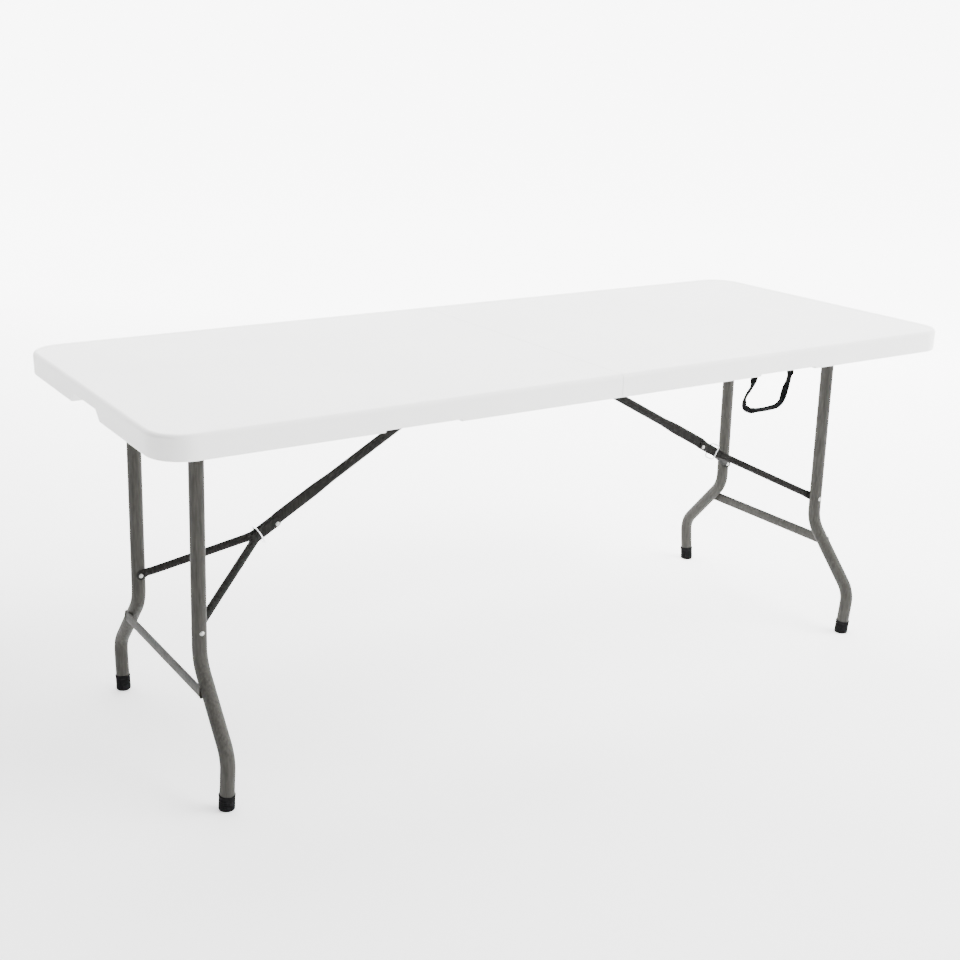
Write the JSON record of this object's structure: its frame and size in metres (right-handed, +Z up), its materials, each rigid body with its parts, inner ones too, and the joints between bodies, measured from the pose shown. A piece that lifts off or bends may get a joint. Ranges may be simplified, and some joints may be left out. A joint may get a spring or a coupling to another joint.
{
  "type": "folding table",
  "caption": "Fold-in-half banquet table: hollow plastic top hinged at the centre, folding bent-tube leg frames, jointed braces with sliding lock rings and a carrying strap.",
  "frame": {"origin": "on the floor, under the middle of the table top", "axes": "+X along the table's length, from the left half to the right half; +Y to the back; +Z up"},
  "size_m": [1.83, 0.74, 0.74],
  "materials": {
    "white_plastic": "blow-moulded polyethylene with a fine pebble grain",
    "grey_steel": "satin grey powder coat",
    "dark_steel": "darker grey powder coat",
    "chrome_wire": "bright chromed wire",
    "zinc": "bright zinc plated steel",
    "black_rubber": "black moulded rubber",
    "black_webbing": "black woven nylon webbing"
  },
  "bodies": {
    "left_half": {"left_top": "white_plastic", "left_front_rail": "grey_steel", "left_rear_rail": "grey_steel", "left_rail_screws": "zinc", "left_brace_rod": "dark_steel", "left_rod_collars": "zinc", "left_hinge_plates": "grey_steel", "hinge_pins": "zinc"},
    "left_leg_frame": {"left_leg_pivot_tube": "grey_steel", "left_front_leg": "grey_steel", "left_rear_leg": "grey_steel", "left_crossbar": "grey_steel", "left_front_foot": "black_rubber", "left_rear_foot": "black_rubber", "left_leg_rivets": "zinc"},
    "left_upper_brace": {"left_upper_arm": "dark_steel", "left_joint_rivet": "zinc"},
    "left_lower_brace": {"left_brace_front_arm": "dark_steel", "left_brace_rear_arm": "dark_steel", "left_stop_rivet": "dark_steel", "left_brace_rivets": "zinc"},
    "left_ring": {"left_lock_ring": "chrome_wire"},
    "right_half": {"right_top": "white_plastic", "right_front_rail": "grey_steel", "right_rear_rail": "grey_steel", "right_rail_screws": "zinc", "right_brace_rod": "dark_steel", "right_rod_collars": "zinc", "right_hinge_plates": "grey_steel", "carry_strap": "black_webbing", "strap_anchors": "dark_steel"},
    "right_leg_frame": {"right_leg_pivot_tube": "grey_steel", "right_front_leg": "grey_steel", "right_rear_leg": "grey_steel", "right_crossbar": "grey_steel", "right_front_foot": "black_rubber", "right_rear_foot": "black_rubber", "right_leg_rivets": "zinc"},
    "right_upper_brace": {"right_upper_arm": "dark_steel", "right_joint_rivet": "zinc"},
    "right_lower_brace": {"right_brace_front_arm": "dark_steel", "right_brace_rear_arm": "dark_steel", "right_stop_rivet": "dark_steel", "right_brace_rivets": "zinc"},
    "right_ring": {"right_lock_ring": "chrome_wire"}
  },
  "joints": [
    {"name": "centre_fold", "type": "hinge", "parent": "left_half", "child": "right_half", "pos_m": [0, 0, 0.695], "axis": [0, 1, 0], "range_deg": [0, 95]},
    {"name": "left_leg_fold", "type": "hinge", "parent": "left_half", "child": "left_leg_frame", "pos_m": [-0.772, 0, 0.708], "axis": [0, -1, 0], "range_deg": [0, 91.5]},
    {"name": "left_upper_brace_turn", "type": "hinge", "parent": "left_half", "child": "left_upper_brace", "pos_m": [-0.05, 0, 0.711], "axis": [0, 1, 0], "range_deg": [0, 29.31]},
    {"name": "left_brace_knuckle", "type": "hinge", "parent": "left_upper_brace", "child": "left_lower_brace", "pos_m": [-0.55186, 0, 0.42358], "axis": [0, -1, 0], "range_deg": [0, 182.67]},
    {"name": "left_ring_slide", "type": "slide", "parent": "left_upper_brace", "child": "left_ring", "axis": [0.8733, 0, 0.4872], "range_m": [0, 0.201]},
    {"name": "right_leg_fold", "type": "hinge", "parent": "right_half", "child": "right_leg_frame", "pos_m": [0.772, 0, 0.708], "axis": [0, 1, 0], "range_deg": [0, 91.5]},
    {"name": "right_upper_brace_turn", "type": "hinge", "parent": "right_half", "child": "right_upper_brace", "pos_m": [0.05, 0, 0.711], "axis": [0, -1, 0], "range_deg": [0, 29.31]},
    {"name": "right_brace_knuckle", "type": "hinge", "parent": "right_upper_brace", "child": "right_lower_brace", "pos_m": [0.55186, 0, 0.42358], "axis": [0, 1, 0], "range_deg": [0, 182.67]},
    {"name": "right_ring_slide", "type": "slide", "parent": "right_upper_brace", "child": "right_ring", "axis": [-0.8733, 0, 0.4872], "range_m": [0, 0.201]}
  ],
  "couplings": [
    {"joint": "left_upper_brace_turn", "follows": "left_leg_fold", "ratio": 0.31979},
    {"joint": "left_brace_knuckle", "follows": "left_leg_fold", "ratio": 1.9959},
    {"joint": "left_ring_slide", "follows": "left_leg_fold", "m_per_rad": 0.12524},
    {"joint": "right_upper_brace_turn", "follows": "right_leg_fold", "ratio": 0.31979},
    {"joint": "right_brace_knuckle", "follows": "right_leg_fold", "ratio": 1.9959},
    {"joint": "right_ring_slide", "follows": "right_leg_fold", "m_per_rad": 0.12524}
  ]
}
